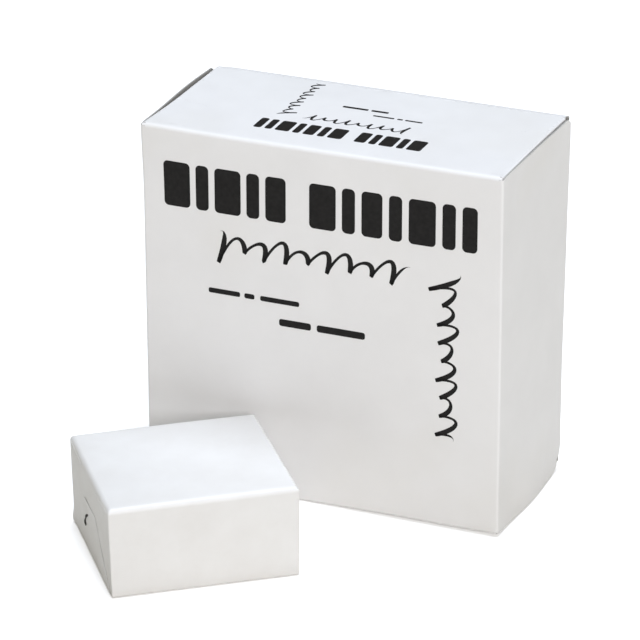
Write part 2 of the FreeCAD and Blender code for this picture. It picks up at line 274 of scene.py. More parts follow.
class Nodes:
    """A short way to write a node material."""

    def __init__(self, name):
        self.material = bpy.data.materials.new(name)
        self.material.use_nodes = True
        self.tree = self.material.node_tree
        self.shader = self.tree.nodes["Principled BSDF"]
        self.place = self.add("ShaderNodeTexCoord").outputs["Object"]

    def add(self, kind, inputs=None, **properties):
        node = self.tree.nodes.new(kind)
        for key, value in properties.items():
            setattr(node, key, value)
        for key, value in (inputs or {}).items():
            if isinstance(value, bpy.types.NodeSocket):
                self.tree.links.new(value, node.inputs[key])
            else:
                node.inputs[key].default_value = value
        return node

    def noise(self, scale, detail=4.0, roughness=0.55, stretch=None):
        place = self.place
        if stretch:
            place = self.add("ShaderNodeMapping", {"Vector": place, "Scale": stretch}).outputs["Vector"]
        inputs = {"Vector": place, "Scale": scale, "Detail": detail, "Roughness": roughness}
        return self.add("ShaderNodeTexNoise", inputs).outputs["Fac"]

    def span(self, value, low, high, to_low, to_high):
        inputs = {"Value": value, "From Min": low, "From Max": high, "To Min": to_low, "To Max": to_high}
        return self.add("ShaderNodeMapRange", inputs).outputs["Result"]

    def blend(self, factor, first, second):
        node = self.add("ShaderNodeMix", data_type="RGBA")
        self.tree.links.new(factor, node.inputs["Factor"])
        for socket, value in ((node.inputs[6], first), (node.inputs[7], second)):
            if isinstance(value, bpy.types.NodeSocket):
                self.tree.links.new(value, socket)
            else:
                socket.default_value = (*value, 1.0)
        return node.outputs[2]

    def bumps(self, *layers):
        """Chain bump layers, each (height socket, distance in metres, strength)."""
        normal = None
        for height, distance, strength in layers:
            inputs = {"Height": height, "Distance": distance, "Strength": strength}
            if normal:
                inputs["Normal"] = normal
            normal = self.add("ShaderNodeBump", inputs).outputs["Normal"]
        self.tree.links.new(normal, self.shader.inputs["Normal"])

    def feed(self, name, value):
        if isinstance(value, bpy.types.NodeSocket):
            self.tree.links.new(value, self.shader.inputs[name])
        else:
            self.shader.inputs[name].default_value = value


def coated_board_material():
    """Clay-coated white board: a faint sheen, a little mottling and the fibre showing through."""
    m = Nodes("coated_white_board")
    mottle = m.span(m.noise(60, 5, 0.6), 0.3, 0.7, 0, 1)
    fibre = m.noise(1500, 3, 0.6, stretch=(1, 1, 0.35))
    handled = m.span(m.noise(22, 3, 0.5), 0.52, 0.75, 0, 1)
    colour = m.blend(mottle, (0.80, 0.80, 0.805), (0.83, 0.83, 0.835))
    colour = m.blend(handled, colour, (0.79, 0.785, 0.775))
    m.feed("Base Color", colour)
    m.feed("Roughness", m.span(m.noise(140, 4, 0.6), 0.3, 0.7, 0.38, 0.52))
    m.feed("Specular IOR Level", 0.4)
    m.bumps((m.noise(45, 2, 0.5), 0.0004, 0.12), (fibre, 0.00003, 0.25))
    return m.material


def raw_board_material():
    """The grey recycled fibre of the board's back and its cut edges."""
    m = Nodes("raw_board")
    fibre = m.noise(900, 5, 0.7, stretch=(1, 1, 0.3))
    speck = m.span(m.noise(2600, 2, 0.5), 0.62, 0.72, 0, 1)
    colour = m.blend(fibre, (0.33, 0.325, 0.31), (0.45, 0.44, 0.42))
    m.feed("Base Color", m.blend(speck, colour, (0.22, 0.215, 0.20)))
    m.feed("Roughness", m.span(fibre, 0.3, 0.7, 0.78, 0.92))
    m.bumps((fibre, 0.00008, 0.5))
    return m.material


def ink_material():
    """Black offset ink, slightly uneven in density."""
    m = Nodes("black_ink")
    density = m.span(m.noise(700, 4, 0.6), 0.3, 0.7, 0, 1)
    m.feed("Base Color", m.blend(density, (0.006, 0.0055, 0.0055), (0.013, 0.012, 0.012)))
    m.feed("Roughness", m.span(m.noise(300, 3, 0.5), 0.3, 0.7, 0.5, 0.62))
    m.feed("Specular IOR Level", 0.22)
    m.bumps((m.noise(1500, 3, 0.6), 0.00003, 0.25))
    return m.material


def waxed_paper_material():
    """White waxed paper: soft light inside, fine crinkles and a waxy sheen that comes and goes."""
    m = Nodes("waxed_paper")
    cloud = m.span(m.noise(70, 4, 0.6), 0.3, 0.7, 0, 1)
    cells = {"Vector": m.place, "Scale": 150.0, "Randomness": 1.0}
    crinkle = m.add("ShaderNodeTexVoronoi", cells, feature="DISTANCE_TO_EDGE").outputs["Distance"]
    crease = m.span(crinkle, 0.0, 0.05, 0, 1)
    m.feed("Base Color", m.blend(cloud, (0.80, 0.79, 0.775), (0.84, 0.835, 0.825)))
    m.feed("Roughness", m.span(m.noise(180, 4, 0.6), 0.3, 0.7, 0.34, 0.5))
    m.feed("Specular IOR Level", 0.45)
    m.feed("Subsurface Weight", 0.12)
    m.feed("Subsurface Radius", (1.0, 0.95, 0.9))
    m.feed("Subsurface Scale", 0.0012)
    m.bumps(
        (m.noise(38, 3, 0.55), 0.0012, 0.16),
        (crease, 0.00006, 0.10),
        (m.noise(1400, 3, 0.6), 0.00002, 0.2),
    )
    return m.material


def chalk_material():
    """Pressed magnesium carbonate: matt white powder with pits and slightly darker dust."""
    m = Nodes("pressed_chalk")
    powder = m.noise(500, 8, 0.7)
    pits = m.span(m.noise(900, 3, 0.6), 0.28, 0.4, 0, 1)
    m.feed("Base Color", m.blend(powder, (0.82, 0.815, 0.80), (0.90, 0.90, 0.89)))
    m.feed("Roughness", 0.95)
    m.feed("Specular IOR Level", 0.15)
    m.bumps((m.noise(120, 5, 0.6), 0.0006, 0.35), (powder, 0.0002, 0.5), (pits, 0.00025, 0.5))
    return m.material


def painted_shade_material():
    """Painted shade: a near-black sheet that stands for the inside of a small tear, where little light
    reaches.
    """
    m = Nodes("tear_painted_shade")
    m.feed("Base Color", m.blend(m.noise(1500, 2, 0.5), (0.015, 0.013, 0.012), (0.05, 0.045, 0.04)))
    m.feed("Roughness", 0.9)
    return m.material


def floor_material():
    """A plain pale studio floor, overexposed to white for the lens; what it sends back is duller."""
    m = Nodes("studio_floor")
    seen = m.add("ShaderNodeLightPath").outputs["Is Camera Ray"]
    m.feed("Base Color", m.blend(seen, (0.80, 0.775, 0.72), (0.95, 0.95, 0.95)))
    m.feed("Roughness", 0.85)
    m.feed("Specular IOR Level", 0.1)
    m.feed("Emission Color", (1.0, 1.0, 1.0, 1.0))
    m.feed("Emission Strength", m.span(seen, 0.0, 1.0, 0.0, 0.3))
    return m.material


WORLD_FILL = (0.145, 0.125, 0.085)      # the light that comes evenly from all round


def pale_world():
    """A dim even light from all round, whose backdrop is white."""
    world = bpy.data.worlds.new("studio_world")
    bpy.context.scene.world = world
    world.use_nodes = True
    tree = world.node_tree
    seen = tree.nodes.new("ShaderNodeLightPath").outputs["Is Camera Ray"]
    colour = tree.nodes.new("ShaderNodeMix")
    colour.data_type = "RGBA"
    colour.inputs[6].default_value = (*WORLD_FILL, 1.0)
    colour.inputs[7].default_value = (1.0, 1.0, 1.0, 1.0)
    tree.links.new(seen, colour.inputs["Factor"])
    tree.links.new(colour.outputs[2], tree.nodes["Background"].inputs["Color"])


BOARD_WHITE = coated_board_material()
BOARD_RAW = raw_board_material()
INK = ink_material()
WAXED = waxed_paper_material()
CHALK = chalk_material()
# The tear's near-black material is painted shade.
TEAR_PAINTED_SHADE = painted_shade_material()


# ---------------------------------------------------------------- how the carton is worn and bowed

FRONT_BOW = 0.35    # how far the front and back walls bulge at their middle
TOP_PUFF = 0.25     # how far the top panel rises at its middle
BACK_LIFT = 0.65    # how far the top back crease stands above its flat place
TOE_LIFT = 0.6      # how far the bottom front crease clears the floor towards its right end

# Corners that are pulled outward: (corner, reach, pull).
PULLED_CORNERS = (
    ((-HALF_WIDTH, -HALF_DEPTH, HEIGHT), 15.0, (-0.65, 0.0, 0.3)),
    ((HALF_WIDTH, HALF_DEPTH, HEIGHT), 24.0, (0.6, 0.0, 0.0)),
)


def panel_bow(x, across, half_across):
    """A wall's bulge: 0 at its creases and 1 at its middle."""
    u = np.clip(1 - (x / SEAM) ** 2, 0, 1)
    v = np.clip(1 - (across / half_across) ** 2, 0, 1)
    return u * v


def bow_carton(points):
    """Bulge, lift and pull the carton's walls a little, as board does round a full load."""
    p = np.array(points, float)
    x, y, z = p[..., 0], p[..., 1], p[..., 2]
    # Each is 1 on its wall's outside and 0 deeper in the carton.
    on_front = smooth((-HALF_DEPTH + 1.2 - y) / 0.8)
    on_back = smooth((y - HALF_DEPTH + 1.2) / 0.8)
    on_top = smooth((z - HEIGHT + 1.4) / 0.8)
    wave = 1 + 0.35 * noise(p, 42, 3)
    face = panel_bow(x, z - HEIGHT / 2, HEIGHT / 2)
    lid = panel_bow(x, y, HALF_DEPTH)
    p[..., 1] += (on_back - on_front) * FRONT_BOW * face * wave
    p[..., 2] += on_top * TOP_PUFF * lid * wave
    p[..., 2] += BACK_LIFT * smooth((y / HALF_DEPTH + 1) / 2) * smooth(2 * z / HEIGHT - 1)
    p[..., 2] += TOE_LIFT * smooth((x + 15) / 45) * smooth(1 - z / 25) * smooth(-y / HALF_DEPTH)
    start = p.copy()
    for corner, reach, pull in PULLED_CORNERS:
        distance = np.linalg.norm(start - np.array(corner), axis=-1)
        p += np.exp(-(distance / reach) ** 2)[..., None] * np.array(pull)
    return p


def round_corner(points, corner, radius, reach):
    """Round off one corner of the carton, seen from its end, fading along X over a reach."""
    p = np.array(points, float)
    cx, cy, cz = corner
    side_y = -math.copysign(1.0, cy)
    side_z = -1.0 if cz > HEIGHT / 2 else 1.0
    a = radius - (p[..., 1] - cy) * side_y
    b = radius - (p[..., 2] - cz) * side_z
    inside = (a > 0) & (b > 0)
    largest = np.maximum(np.maximum(a, b), 1e-9)
    length = np.maximum(np.hypot(a, b), 1e-9)
    fade = smooth(1 - np.abs(p[..., 0] - cx) / reach)
    scale = np.where(inside, 1 + (largest / length - 1) * fade, 1.0)
    p[..., 1] = np.where(inside, cy + (radius - a * scale) * side_y, p[..., 1])
    p[..., 2] = np.where(inside, cz + (radius - b * scale) * side_z, p[..., 2])
    return p


# Corners that are worn or crushed round: (corner, radius, reach).
WORN_CORNERS = (
    ((HALF_WIDTH, HALF_DEPTH, 0.0), 9.8, 28.0),
    ((-HALF_WIDTH, HALF_DEPTH, HEIGHT), 1.8, 8.0),
    ((-HALF_WIDTH, HALF_DEPTH, 0.0), 2.5, 12.0),
    ((HALF_WIDTH, -HALF_DEPTH, 0.0), 1.6, 10.0),
    ((-HALF_WIDTH, -HALF_DEPTH, 0.0), 1.4, 8.0),
)


def wear(points):
    """Everything that handling has done to the carton's shape."""
    p = bow_carton(points)
    for corner, radius, reach in WORN_CORNERS:
        p = round_corner(p, corner, radius, reach)
    return p


# ---------------------------------------------------------------- the carton

def finish_piece(piece, body=None, replaces=(), blend=None):
    """Hide the nodes a piece stands for and attach it to its body; a piece given a blend is only baked in
    place and attached to no body.
    """
    if replaces:
        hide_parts(*replaces)
    if blend:
        first, second, start, end = blend
        tuple(np.array(start) * MM)
        tuple(np.array(end) * MM)
        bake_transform(piece)
    else:
        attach(piece, body)


def carton_tube():
    """Front, top, back and bottom walls: one strip of board folded round with soft creases."""
    outline = [(-HALF_DEPTH, 0), (-HALF_DEPTH, HEIGHT), (HALF_DEPTH, HEIGHT), (HALF_DEPTH, 0)]
    loop = rounded_path(outline, WALL_CREASES, 2.0, closed=True)
    # Two stations of the top wall go beside the dust flap's edge, where the wall becomes wider.
    on_top = loop[:, 1] > HEIGHT - 0.01
    beside = np.argmin(np.where(on_top, np.abs(loop[:, 0] - DUST_HIGH[1]), np.inf))
    loop[beside, 0] = DUST_HIGH[1] + 0.02
    loop[beside + 1, 0] = DUST_HIGH[1] + 0.2
    # The walls end at the seam, except beside the flaps, where they reach nearly to the ends.
    from_middle = np.abs(loop[:, 1] - HEIGHT / 2)
    past_closure = from_middle > CLOSURE_HIGH[2] - CLOSURE_RELIEF - HEIGHT / 2
    front_corner = past_closure & (loop[:, 0] < DUST_LOW[1])
    back_corner = past_closure & (loop[:, 0] > DUST_HIGH[1] + 0.1)
    on_back = loop[:, 0] > HALF_DEPTH - 0.3
    ends = np.full(len(loop), SEAM)
    ends[front_corner] = HALF_WIDTH - 0.5
    ends[back_corner] = HALF_WIDTH - 0.8
    ends[on_back] = HALF_WIDTH - 0.2
    across = np.linspace(-1, 1, 71)
    # The rows lie closer together towards the ends.
    across = np.sign(across) * (1 - (1 - np.abs(across)) ** 1.15)
    grid = np.zeros((len(across), len(loop), 3))
    grid[..., 0] = across[:, None] * ends[None, :]
    grid[..., 1] = loop[None, :, 0]
    grid[..., 2] = loop[None, :, 1]
    part = shell_data(wear(grid), BOARD, CENTRE, wrap=True)
    piece = make_piece("carton_walls", [part], [BOARD_WHITE, BOARD_RAW])
    walls = ["front_panel", "back_panel", "bottom_panel", "top_panel"]
    finish_piece(piece, "carton", walls)


def glue_flap():
    """The flap that closes the tube, stuck under the top panel, its ends cut on a slope."""
    slope = 8.0
    clearance = 0.05
    depth = np.linspace(GLUE_HIGH[1] - 2 * clearance, GLUE_LOW[1], 14)
    across = np.linspace(-1, 1, 50)
    taper = GLUE_HIGH[1] - depth
    half = GLUE_HIGH[0] - slope * taper / taper[-1]
    grid = np.zeros((len(depth), len(across), 3))
    grid[..., 0] = half[:, None] * across[None, :]
    grid[..., 1] = depth[:, None]
    rise = TOP_PUFF * panel_bow(grid[..., 0], grid[..., 1], HALF_DEPTH)
    grid[..., 2] = GLUE_HIGH[2] - clearance + rise * 0.5
    part = shell_data(grid, BOARD - clearance, (0, 0, 0))
    piece = make_piece("glue_flap_board", [part], [BOARD_RAW, BOARD_RAW])
    finish_piece(piece, "carton", ["glue_flap"])


def flap_grid(path, ranges, place, across_count):
    """A flap's outer surface: a path along it, and how far it reaches across at each station."""
    rows = []
    t = np.linspace(0, 1, across_count)
    for (p, q), (low, high) in zip(path, ranges):
        rows.append([place(p, q, low + (high - low) * each) for each in t])
    return np.array(rows, float)


def along(path):
    """Distance along a path at each of its points."""
    return np.concatenate([[0], np.cumsum(np.linalg.norm(np.diff(path, axis=0), axis=1))])


def corner_inset(distance, radius):
    """How far a rounded corner pulls an edge in, at a distance from the end it rounds."""
    d = np.clip(radius - distance, 0, radius)
    return radius - np.sqrt(radius * radius - d * d)


def from_hinge(points):
    """How far back from a closure's hinge each point is: 0 at the front wall and 1 at the back."""
    return (points[..., 1] + HALF_DEPTH) / (2 * HALF_DEPTH)


def bow_left_closure(grid):
    """The left closure springs outward between its hinge and its tuck, most near the top."""
    out = grid.copy()
    t = from_hinge(grid)
    beyond = smooth(-HALF_WIDTH + 1.5 - grid[..., 0])
    height = 0.65 + 0.35 * grid[..., 2] / HEIGHT
    out[..., 0] -= beyond * (1.3 * bump(t * 0.85) ** 0.8 + 0.5 * smooth(t)) * height
    return out


def dent(points):
    """How far a shallow dent, low down by its hinge, pushes in the right closure and what is behind."""
    depth = 0.5
    back = (from_hinge(points) - 0.22) / 0.16
    up = (points[..., 2] - 16) / 9
    return depth * np.exp(-back ** 2 - up ** 2)


def bow_right_closure(grid):
    """The right closure bows out a little, most low down, and flares at its free edge."""
    out = grid.copy()
    t = from_hinge(grid)
    beyond = smooth(grid[..., 0] - HALF_WIDTH + 1.5)
    lift = grid[..., 2] / HEIGHT
    flare = t ** 2 * (0.7 * smooth((lift - 0.3) / 0.7) + 0.4 * bump((lift - 0.05) / 1.05))
    low = smooth(1 - lift * 4)
    bow = (0.2 + 0.7 * low + 0.2 * noise(grid, 19, 5)) * bump(t)
    out[..., 0] += beyond * (bow + flare + 0.3 * low * t - dent(grid))
    return out


def end_grid(path, inset, low, high, sign, across_count):
    """The bowed outer surface of an upright flap on one end of the carton, between two heights."""
    ranges = [(low + each, high - each) for each in inset]
    grid = flap_grid(path, ranges, lambda p, q, w: (sign * p, q, w), across_count)
    return bow_left_closure(grid) if sign < 0 else bow_right_closure(grid)


def closure(side, sign):
    """An end closure, from its crease on the front wall to the crease of its tuck flap."""
    corners = [(SEAM, -HALF_DEPTH), (HALF_WIDTH, -HALF_DEPTH), (HALF_WIDTH, TUCK_START)]
    path = rounded_path(corners, [0, CLOSURE_CREASE, 0], 1.6)
    s = along(path)
    relief = CLOSURE_RELIEF * smooth(1 - (s - 1.0) / 2.5)
    inset = relief + corner_inset(s[-1] - s, CLOSURE_CORNER)
    grid = end_grid(path, inset, CLOSURE_LOW[2], CLOSURE_HIGH[2], sign, 62)
    part = shell_data(wear(grid), BOARD, CENTRE)
    piece = make_piece(f"{side}_closure_board", [part], [BOARD_WHITE, BOARD_RAW])
    start = (sign * (HALF_WIDTH - CREASE_REACH), -HALF_DEPTH, HEIGHT / 2)
    end = (sign * HALF_WIDTH, -HALF_DEPTH + CREASE_REACH, HEIGHT / 2)
    finish_piece(
        piece, replaces=[f"{side}_closure_panel"],
        blend=("carton", f"{side}_closure", start, end),
    )


def tuck(side, sign):
    """The tuck flap: a crease at the closure's free edge, then a tongue that leans into the carton."""
    tip = np.array([TUCK_LOW[0], TUCK_LOW[1] + BOARD])
    path = rounded_path([(HALF_WIDTH, TUCK_START), FOLD, tip], [0, TUCK_CREASE, 0], 0.8)
    s = along(path)
    inset = 1.2 * smooth(s / 1.5) + corner_inset(s[-1] - s, TUCK_CORNER)
    grid = end_grid(path, inset, TUCK_LOW[2], TUCK_HIGH[2], sign, 60)
    part = shell_data(wear(grid), BOARD, CENTRE)
    piece = make_piece(f"{side}_tuck_board", [part], [BOARD_WHITE, BOARD_RAW])
    start = (sign * HALF_WIDTH, TUCK_START + 0.1, HEIGHT / 2)
    end = (sign * (HALF_WIDTH - TIP_TURN), FOLD[1], HEIGHT / 2)
    finish_piece(
        piece, replaces=[f"{side}_tuck_flap"],
        blend=(f"{side}_closure", f"{side}_tuck", start, end),
    )


def dust_flap(side, sign, name):
    """A dust flap: a crease at the end of the top or bottom wall, then a flap that tapers."""
    top = name == "top"
    length = DUST_HIGH[2] - DUST_LOW[2]
    face = DUST_HIGH[0]
    path = rounded_path([(SEAM, 0), (face, 0), (face, -length)], [0, DUST_CREASE, 0], 1.0)
    s = along(path)
    beyond = np.clip(s - (face - SEAM), 0, None)
    corner = corner_inset(s[-1] - s, DUST_CORNER)
    ranges = list(zip(DUST_LOW[1] + beyond + corner, DUST_HIGH[1] - corner))

    def place(p, q, w):
        return (sign * p, w, HEIGHT + q if top else -q)

    grid = flap_grid(path, ranges, place, 36)
    if sign > 0:
        grid[..., 0] -= dent(grid) * smooth(beyond)[:, None]
    part = shell_data(wear(grid), BOARD, CENTRE)
    piece = make_piece(f"{side}_{name}_dust_board", [part], [BOARD_WHITE, BOARD_RAW])
    z = HEIGHT if top else 0.0
    inward = -1 if top else 1
    start = (sign * (face - TIP_TURN), 0, z)
    end = (sign * face, 0, z + inward * TIP_TURN)
    finish_piece(
        piece, replaces=[f"{side}_{name}_dust_flap"],
        blend=("carton", f"{side}_{name}_dust", start, end),
    )


# ---------------------------------------------------------------- the printed marks

INK_HEIGHT = 0.035      # how far the ink stands off the board


def ribbon(centre, half_width, place):
    """A printed stroke: points along its middle with a half width at each, laid on a panel."""
    centre = np.array(centre, float)
    along_stroke = np.gradient(centre, axis=0)
    along_stroke /= np.maximum(np.linalg.norm(along_stroke, axis=1, keepdims=True), 1e-9)
    sideways = np.stack([-along_stroke[:, 1], along_stroke[:, 0]], axis=1)
    columns = np.linspace(-1, 1, 5)
    offset = np.array(half_width)[:, None] * columns[None, :]
    flat = centre[:, None, :] + sideways[:, None, :] * offset[..., None]
    grid = np.array([[place(*point) for point in row] for row in flat])
    return shell_data(grid, INK_HEIGHT * 1.6, CENTRE)


def bar(x0, x1, down0, down1, radius, upright):
    """A bar with rounded corners, as a stroke along its longer side."""
    start, end = (down0, down1) if upright else (x0, x1)
    half = ((x1 - x0) if upright else (down1 - down0)) / 2
    middle = (x0 + x1) / 2 if upright else (down0 + down1) / 2
    length = end - start
    ramp = radius * (1 - np.cos(np.linspace(0, math.pi / 2, 6)))
    straight = np.linspace(radius, length - radius, max(3, int(length / 2)))[1:-1]
    t = np.concatenate([ramp, straight, length - ramp[::-1]])
    from_end = np.minimum(t, length - t)
    widths = half - corner_inset(from_end, min(radius, half)) * 0.98
    points = [(middle, start + each) if upright else (start + each, middle) for each in t]
    return points, widths


def scribble(start, end, height, waves, slant, first):
    """A running pen line between two points: slanted waves, heavier on the way down."""
    start, end = np.array(start, float), np.array(end, float)
    direction = (end - start) / np.linalg.norm(end - start)
    downward = np.array([-direction[1], direction[0]])
    t = np.linspace(0, 1, waves * 22)
    angle = t * waves * 2 * math.pi
    uneven = 0.72 + 0.28 * np.sin(angle * 0.37 + 1.1)
    # The first wave is taller, like a capital.
    rise = height * uneven * (1 + first * np.exp(-((t - 0.05) / 0.045) ** 2))
    offset = -rise * np.cos(angle)
    forward = t * np.linalg.norm(end - start) - slant * offset + 0.5 * height * np.sin(angle) * 0.55
    points = start + direction * forward[:, None] + downward * offset[:, None]
    weight = 0.15 + 0.07 * np.clip(np.sin(angle), -0.6, 1)
    widths = height * weight * smooth(t * 40) * smooth((1 - t) * 40)
    return points, np.maximum(widths, 0.02)


HEADING_TOP, HEADING_FOOT = 11.2, 26.2

# Bars of the heading, each (left edge, width): two groups of broad and narrow ones.
HEADING = (
    (7.5, 9.0), (18.5, 4.4), (25.0, 9.0), (36.0, 4.4), (42.5, 7.0),
    (57.5, 9.0), (68.6, 4.4), (75.2, 7.0), (84.4, 4.4), (91.0, 9.0), (102.2, 4.4), (108.8, 5.0),
)


def marks():
    """The layout of the print, in millimetres from the panel's left edge and down from its top."""
    strokes = []
    for left, width in HEADING:
        strokes.append(bar(left, left + width, HEADING_TOP, HEADING_FOOT, 1.5, upright=True))
    strokes.append(scribble((25.0, 36.8), (90.5, 37.0), 4.0, 9, 0.4, 0.7))
    strokes.append(scribble((104.0, 35.5), (104.0, 92.0), 3.7, 9, -0.3, 0.8))
    for x0, x1 in ((22.5, 33.5), (35.0, 38.5), (40.5, 54.0)):
        strokes.append(bar(x0, x1, 52.2, 53.9, 0.6, upright=False))
    for x0, x1 in ((47.0, 58.0), (60.0, 76.5)):
        strokes.append(bar(x0, x1, 59.0, 61.4, 0.8, upright=False))
    return strokes


TOP_PRINT_SCALE = 0.533
TOP_PRINT_START = (0.5, -23.8)      # where the front print's top middle falls on the top wall


def printed_marks():
    """The same print on the front wall and, smaller and turned round, on the top."""
    def on_front(x, down):
        point = np.array([x - HALF_WIDTH, -HALF_DEPTH, HEIGHT - down])
        return wear(point) - np.array([0, INK_HEIGHT, 0])

    def on_top(x, down):
        across = TOP_PRINT_START[0] - TOP_PRINT_SCALE * (x - HALF_WIDTH)
        back = TOP_PRINT_START[1] + TOP_PRINT_SCALE * down
        point = np.array([across, back, HEIGHT])
        return wear(point) + np.array([0, 0, INK_HEIGHT])

    for name, place in (("front_print", on_front), ("top_print", on_top)):
        parts = [ribbon(points, widths, place) for points, widths in marks()]
        piece = make_piece(name, parts, [INK])
        finish_piece(piece, "carton")


# ---------------------------------------------------------------- wrapped blocks

END_RING = 0.22         # how far the side tucks lie inside a wrapped block's ends
TOP_FOLD = 1.5          # how softly the paper turns down over a block's top end edges
SIDE_FOLD = 0.5         # how sharply it turns at the other end edges
PAPER_TURN = 1.8        # how far from an end flap's hinge the blend's ends lie, though no blend is applied
ROOT = 3.2              # how much of an end flap's sheet lies along the sleeve, before its fold
COVERED = 2.6           # how much of that is under the sleeve's surface


def turned(points, place):
    """Move points from a block's own frame to the carton's."""
    return np.asarray(points) @ place[:3, :3].T + place[:3, 3]


def snug(points):
    """A packed block's paper lies close to the chalk."""
    return np.asarray(points, float)


def slack(points):
    """The loose block's paper stands off the chalk, most at the top of its back."""
    p = np.array(points, float)
    x = p[..., 0] * 2 / BLOCK_LENGTH
    y = p[..., 1] * 2 / BLOCK_DEPTH
    z = p[..., 2] / BLOCK_HEIGHT
    p[..., 0] += x * np.where(x < 0, 0.75 * z - 0.05, 0.35 + 0.15 * z)
    p[..., 1] += y * (0.75 + 0.15 * y + 0.25 * np.clip(-y, 0, 1) * (1 - z))
    p[..., 2] += z ** 2 * (0.45 + 0.3 * y + 0.1 * x)
    # The lower back corner of the left end sticks out like an ear.
    ear = np.exp(-((x + 1) / 0.07) ** 2 - ((y - 1) / 0.10) ** 2 - ((z - 0.04) / 0.10) ** 2)
    p[..., 0] -= 0.5 * ear
    p[..., 1] += 0.3 * ear
    return p


def block_part(grid, thickness, place, wrap=False):
    """A thin sheet of a block, moved from the block's own frame to the carton's."""
    vertices, faces, kinds = shell_data(grid, thickness, BLOCK_CENTRE, wrap)
    return turned(vertices, place), faces, kinds


def wrapped_sleeve(place, fit, loose, seed):
    """The paper round a block, folded in at both ends as far as its side tucks reach."""
    half_depth, height = BLOCK_DEPTH / 2, BLOCK_HEIGHT
    outline = [(-half_depth, 0), (-half_depth, height), (half_depth, height), (half_depth, 0)]
    loop = rounded_path(outline, [BLOCK_TOE] + [BLOCK_EDGE] * 3, 1.6, closed=True)
    end_x = BLOCK_LENGTH / 2 - END_RING
    normals = np.stack([np.gradient(loop[:, 1]), -np.gradient(loop[:, 0])], axis=1)
    normals /= np.linalg.norm(normals, axis=1, keepdims=True)
    normals *= np.sign(((loop - np.array([0, height / 2])) * normals).sum(1))[:, None]
    fold = SIDE_FOLD + (TOP_FOLD - SIDE_FOLD) * np.clip(normals[:, 1], 0, 1) ** 2
    edge = loop - normals * fold[:, None]
    # The side tucks leave an opening between them, which the flaps cover.
    opening = np.stack([
        np.clip(edge[:, 0], -half_depth + FLAP_LENGTH, half_depth - FLAP_LENGTH),
        np.clip(edge[:, 1], 1.0, height - 2.2),
    ], axis=1)
    rows = []
    for t in np.linspace(1, 0, 13)[:-1]:
        rows.append((np.full(len(loop), -end_x), edge + (opening - edge) * t))
    for angle in np.linspace(0, math.pi / 2, 7)[:-1]:
        section = loop - normals * (fold * (1 - math.sin(angle)))[:, None]
        rows.append((-end_x + fold * (1 - math.cos(angle)), section))
    left_end = list(rows)
    for t in np.linspace(-1, 1, 44):
        rows.append((t * np.where(abs(t) < 1, end_x - TOP_FOLD, end_x - fold), loop))
    rows += [(-x, section) for x, section in left_end[::-1]]
    grid = np.array([np.column_stack([x, section]) for x, section in rows])
    along_x = np.clip(1 - (grid[..., 0] / (end_x - 0.5)) ** 2, 0, 1)
    off_floor = smooth(grid[..., 2] / height * 6)
    puff = loose * (0.45 + 0.35 * noise(grid, 21, seed)) * along_x ** 0.5
    # The crinkles are longer along the block than round it.
    crinkle = loose * 0.16 * np.abs(noise(grid * np.array([0.3, 1, 1]), 5.0, seed + 1)) * along_x ** 0.3
    out = grid_normals(grid, True, BLOCK_CENTRE)
    grid = fit(grid + out * ((puff + crinkle) * off_floor)[..., None])
    return block_part(grid, PAPER, place, wrap=True)


def end_flap(place, fit, side, name, lift, seed):
    """A top or bottom flap of a wrapper's end: a trapezium with its corners folded under as gussets."""
    base = BLOCK_DEPTH / 2 - BLOCK_EDGE
    top = name == "top"
    # The bottom flap is folded up last, over the top one.
    face = BLOCK_LENGTH / 2 - (0.2 if top else 0.03)
    fold = (TOP_FOLD if top else SIDE_FOLD) + END_RING
    path = rounded_path([(face - ROOT, 0), (face, 0), (face, -FLAP_LENGTH)], [0, fold, 0], 0.9)
    s = along(path)
    beyond = np.clip(s - COVERED, 0, None) * FLAP_LENGTH / (s[-1] - COVERED)
    half = base - beyond
    grid = flap_grid(path, [(-each, each) for each in half], lambda p, q, w: (p, w, q), 46)
    t = np.clip(beyond / FLAP_LENGTH, 0, 1)[:, None]
    grid[..., 2] -= t ** 8 * 0.25 * noise(grid, 4.0, seed)
    crinkle = 0.05 * noise(grid, 6, seed + 4) + 0.03 * noise(grid, 2.6, seed + 5)
    grid[..., 0] += (lift * t ** 2 * (0.7 + 0.3 * noise(grid, 9, seed + 2)) + crinkle * t) * (lift > 0.02)
    sunk = 0.12 * smooth(1 - s / 1.8)
    grid[..., 2] += (0.03 - sunk)[:, None]
    sheets = [(grid, PAPER * 0.7)]
    for facing in (-1, 1):
        rows = []
        for down in np.linspace(1.2, FLAP_LENGTH - 0.6, 16):
            low, high = base - FLAP_LENGTH, base - down - 0.1
            rows.append([(face - 0.11, facing * w, -down) for w in np.linspace(low, high, 10)])
        sheets.append((np.array(rows), 0.05))
    moved = []
    for sheet, thickness in sheets:
        sheet[..., 0] *= side
        sheet[..., 2] = BLOCK_HEIGHT + sheet[..., 2] if top else np.maximum(thickness, -sheet[..., 2])
        vertices, faces, kinds = shell_data(fit(sheet), thickness, BLOCK_CENTRE)
        vertices[:, 2] = np.maximum(vertices[:, 2], 0.01)   # nothing goes under the ground
        moved.append((turned(vertices, place), faces, kinds))
    return moved


def packed_block(number):
    """A packed block's wrapper, its folds all closed."""
    low, high = box_mm(f"packed_wrapper_{number}")
    place = np.eye(4)
    place[:3, 3] = [(low[0] + high[0]) / 2, (low[1] + high[1]) / 2, low[2]]
    if number % 2 == 0:
        # The right column's blocks went in the other way round.
        place[0, 0] = place[1, 1] = -1
    parts = [wrapped_sleeve(place, snug, 0.05, number * 7)]
    for side in (-1, 1):
        for name in ("top", "bottom"):
            parts += end_flap(place, snug, side, name, 0.0, number * 11 + side)
    piece = make_piece(f"packed_wrapper_{number}_paper", parts, [WAXED])
    body = "top_row_block" if number == PACKED_BLOCKS else "carton"
    finish_piece(piece, body, [f"packed_wrapper_{number}"])


